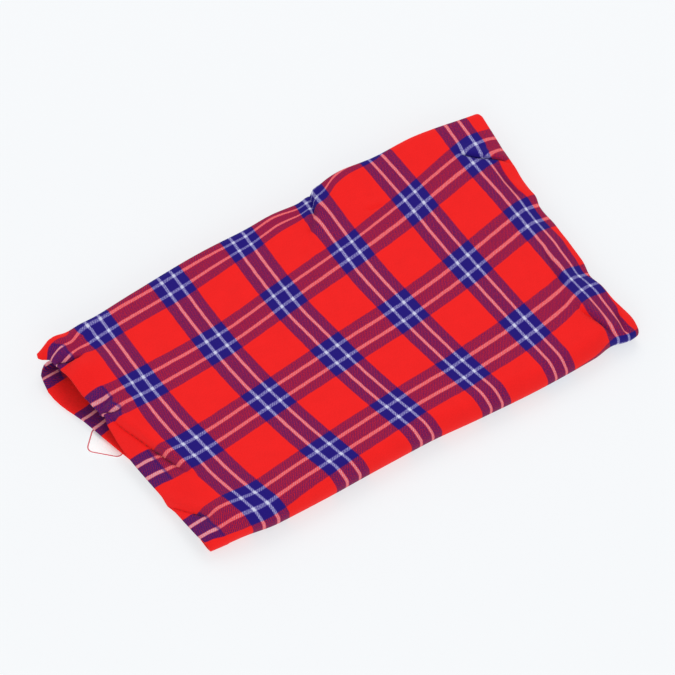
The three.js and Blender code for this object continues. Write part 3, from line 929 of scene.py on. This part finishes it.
def thread_colour(own, other):
    """Colour of one set of threads. A white line takes on some of the red that it crosses."""
    on_red = math_node(tree, "MULTIPLY", own["Lines"], math_node(tree, "SUBTRACT", 1, other["Band"]))
    ground = mix_colours(tree, math_node(tree, "SUBTRACT", own["Band"], on_red, clamp=True), RED, BLUE)
    fill = math_node(tree, "ADD", math_node(tree, "MULTIPLY", other["Band"], MORE_ON_BLUE), LINE_FILL)
    return mix_colours(tree, math_node(tree, "MULTIPLY", own["Lines"], fill), ground, WHITE)


warp = use_group(tree, stripes, WARP_STRIPES, {"Place": across})
weft = use_group(tree, stripes, WEFT_STRIPES, {"Place": lengthwise})
warp_share = math_node(tree, "ADD", math_node(tree, "MULTIPLY", turned, TURNED_CHANGE), WARP_SHARE)
weave = use_group(tree, twill, {"Ribs": 41, "Looseness": 2.6, "Contrast": 0.48},
                  {"Across": across, "Along": lengthwise, "Share on top": warp_share})
woven = mix_colours(tree, weave["On top"], thread_colour(weft, warp), thread_colour(warp, weft))
seam_share = math_node(tree, "MULTIPLY", seam, math_node(tree, "MULTIPLY", weft["Band"], SEAM_BLUE))
sewn = mix_colours(tree, seam_share, woven, BLUE)
for name, widths in (("warp", WARP_STRIPES), ("weft", WEFT_STRIPES)):
    print(name, "band, mm:", round(2 * REPEAT * widths["Band half width"], 1))


# %% [markdown]
# Last come the dye and the touch. The seen colour is turned into a linear one, and the yarn varies it.
# Where threads of two colours meet, shade in the small gaps between them is painted into the colour, apart from
# the white lines.
# The relief is the ribs, the fuzz of the yarn, and a wider and softer rumple.

# %% Dye, painted gap shade and relief
SEEN_TO_LINEAR = 2.2
GAP_SHADE_PAINTED = 0.1
FUZZ_HEIGHT = 0.8
RUMPLE_HEIGHT = 3.5

dyed = add_node(tree, "ShaderNodeGamma", {"Gamma": SEEN_TO_LINEAR})
tree.links.new(sewn, dyed.inputs["Color"])
variation = use_group(tree, yarn, {"Drift": 0.1, "Speckle": 0.22}, {"Threads": thread_uv})
# Painted shade: where threads of two colours meet, the colour is darkened for the shade in the gaps between
# them.
two_colours = math_node(tree, "ABSOLUTE", math_node(tree, "SUBTRACT", warp["Band"], weft["Band"]), None)
lines = math_node(tree, "MAXIMUM", warp["Lines"], weft["Lines"])
off_lines = math_node(tree, "SUBTRACT", two_colours, lines, clamp=True)
darker = math_node(tree, "MULTIPLY", off_lines, GAP_SHADE_PAINTED)
shade = math_node(tree, "SUBTRACT", variation["Brightness"], darker)
tree.links.new(scale_colour(tree, dyed.outputs[0], shade), surface.inputs["Base Color"])

rumple = add_node(tree, "ShaderNodeTexNoise", {"Scale": 3.2, "Detail": 3.0, "Distortion": 0.6})
tree.links.new(thread_uv, rumple.inputs["Vector"])
fuzzy = math_node(tree, "ADD", weave["Height"], math_node(tree, "MULTIPLY", variation["Fuzz"], FUZZ_HEIGHT))
rumpled = math_node(tree, "ADD", fuzzy, math_node(tree, "MULTIPLY", rumple.outputs[0], RUMPLE_HEIGHT))
add_bump(tree, surface, rumpled, strength=0.35, distance=0.00025)
shuka_mesh.materials.append(cloth)
print("material:", cloth.name)


# %% [markdown]
# ## The label
#
# A small white label lies under the lower flap, and one corner of it shows. It is a card with round corners
# and a fine raised edge. A box is added at its size, turned to the hem, and its upright edges are bevelled.
# Then the top is inset three times: for the rim, for the raised thread edge and for the step down inside it.

# %% Label shape
LABEL_SIDE = 22 * MM
LABEL_LENGTH = 27 * MM
LABEL_THICK = 1 * MM
LABEL_X, LABEL_Y = (-186.2 - MIDDLE_X) * MM, (19.2 - MIDDLE_Y) * MM
LABEL_TURN = math.pi / 4
LABEL_CORNER = 5 * MM
LABEL_INSETS = table("thickness depth", (0.25 * MM, 0.0), (0.45 * MM, 0.12 * MM), (0.3 * MM, -0.15 * MM))


def pick(obj, edge_test=None, face_test=None):
    """Selects edges or faces of a mesh by a test, in edit mode."""
    bpy.ops.object.mode_set(mode="EDIT")
    bpy.ops.mesh.select_mode(type="EDGE" if edge_test else "FACE")
    bpy.ops.mesh.select_all(action="DESELECT")
    bpy.ops.object.mode_set(mode="OBJECT")
    if edge_test:
        for edge in obj.data.edges:
            edge.select = edge_test(*[obj.data.vertices[v].co for v in edge.vertices])
    if face_test:
        for face in obj.data.polygons:
            face.select = face_test(face.normal)
    bpy.ops.object.mode_set(mode="EDIT")


bpy.ops.object.select_all(action="DESELECT")
bpy.ops.mesh.primitive_cube_add(
    size=1, location=(LABEL_X, LABEL_Y, LABEL_THICK / 2), rotation=(0, 0, LABEL_TURN)
)
label = bpy.context.object
label.name = "label_cloth"
label.scale = (LABEL_SIDE, LABEL_LENGTH, LABEL_THICK)
bpy.ops.object.transform_apply(location=True, rotation=True, scale=True)
pick(label, edge_test=lambda a, b: abs(a.z - b.z) > LABEL_THICK / 2)
bpy.ops.mesh.bevel(offset=LABEL_CORNER, segments=8)
pick(label, face_test=lambda normal: normal.z > 0.9)
for inset in LABEL_INSETS:
    bpy.ops.mesh.inset(**inset)
bpy.ops.object.mode_set(mode="OBJECT")
print("faces in the label:", len(label.data.polygons))


# %% [markdown]
# The card gets a close, smooth weave, and the raised edge a red thread of its own. Both read Object
# coordinates, because the label is flat and has no folds for the weave to follow. The card glows very
# faintly: this is painted light, which lifts it out of the shadow of the flap so that it stays whiter
# than the pale floor and isn't lost against it.

# %% Label materials
RIM_FACE_AREA = 2e-5
NEAR_TOP = 0.98

# The faint emission is painted light, which lifts the card out of the shadow of the flap.
card, tree, surface = new_material(
    "white_label_weave", {"Roughness": 0.6, "Emission Color": (1, 1, 1, 1), "Emission Strength": 0.06}
)
card_place = add_node(tree, "ShaderNodeTexCoord").outputs["Object"]
card_scale = add_node(tree, "ShaderNodeVectorMath", {"Scale": 60.0}, operation="SCALE")
tree.links.new(card_place, card_scale.inputs[0])
card_yarn = use_group(tree, yarn, {"Drift": 0.02, "Speckle": 0.05}, {"Threads": card_scale.outputs[0]})
card_colour = scale_colour(tree, screen_colour(254, 254, 254)[:3], card_yarn["Brightness"])
tree.links.new(card_colour, surface.inputs["Base Color"])
add_bump(tree, surface, card_yarn["Fuzz"], strength=0.2, distance=0.0001)

edge_thread, tree, surface = new_material("red_edge_thread", {"Roughness": 0.8})
edge_place = add_node(tree, "ShaderNodeTexCoord").outputs["Object"]
edge_wave = add_node(
    tree, "ShaderNodeTexWave", {"Scale": 400.0, "Distortion": 1.0}, bands_direction="DIAGONAL"
)
tree.links.new(edge_place, edge_wave.inputs["Vector"])
strands = edge_wave.outputs["Fac"]
edge_colour = mix_colours(tree, strands, screen_colour(205, 60, 76), screen_colour(232, 128, 138))
tree.links.new(edge_colour, surface.inputs["Base Color"])
add_bump(tree, surface, strands, strength=0.4, distance=0.0001)

label.data.materials.append(card)
label.data.materials.append(edge_thread)
for face in label.data.polygons:
    on_rim = face.area < RIM_FACE_AREA and face.center.z > LABEL_THICK * NEAR_TOP
    face.material_index = 1 if on_rim else 0
print("label materials:", [m.name for m in label.data.materials])


# %% [markdown]
# ## Floor
#
# The blanket lies on a plain pale floor. It is a mid grey that also glows evenly. So it looks almost white
# without more light on the cloth, and the shadow on it stays faint.

# %% Floor
FLOOR_SIZE = 12
JUST_BELOW = -0.0002

bpy.ops.object.select_all(action="DESELECT")
bpy.ops.mesh.primitive_plane_add(size=FLOOR_SIZE, location=(0, 0, JUST_BELOW))
floor = bpy.context.object
floor.name = "pale_floor"
bpy.ops.object.transform_apply(location=True, rotation=True, scale=True)
pale, _, _ = new_material("pale_floor", {
    "Base Color": (0.3, 0.305, 0.31, 1), "Emission Color": screen_colour(246, 248, 250),
    "Emission Strength": 0.68, "Roughness": 0.95, "Specular IOR Level": 0.1,
})
floor.data.materials.append(pale)
print("floor, m:", FLOOR_SIZE, "x", FLOOR_SIZE)


# %% [markdown]
# ## Light
#
# Most of the light comes evenly from all round, so no fold goes black. One big lamp stands high at the
# back right, which leaves a faint grey edge of shadow along the front and the left. A second lamp, low at
# the front left, brightens the front fold. Colours are shown as they are, without a film look.

# %% Light
LAMPS = table(
    "name place size watts",
    ("big soft lamp", (0.9, 1.3, 2.2), 1.6, 18),
    ("front fill", (-1.2, -1.8, 1.4), 1.4, 13),
)

world = bpy.data.worlds.new("soft room")
world.use_nodes = True
world.node_tree.nodes["Background"].inputs["Color"].default_value = (0.98, 0.99, 1, 1)
world.node_tree.nodes["Background"].inputs["Strength"].default_value = 0.74
bpy.context.scene.world = world

for one in LAMPS:
    lamp_data = bpy.data.lights.new(one["name"], "AREA")
    lamp_data.size = one["size"]
    lamp_data.energy = one["watts"]
    lamp = bpy.data.objects.new(one["name"], lamp_data)
    bpy.context.scene.collection.objects.link(lamp)
    x, y, z = one["place"]
    lamp.location = (x, y, z)
    lamp.rotation_euler = (math.atan2(math.hypot(x, y), z), 0, math.atan2(x, -y))
    print(lamp.name, "W:", lamp_data.energy)
bpy.context.scene.view_settings.view_transform = "Standard"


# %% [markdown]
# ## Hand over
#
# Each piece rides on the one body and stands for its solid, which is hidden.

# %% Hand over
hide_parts("shuka")
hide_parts("care_label")
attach(shuka, "root")
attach(label, "root")
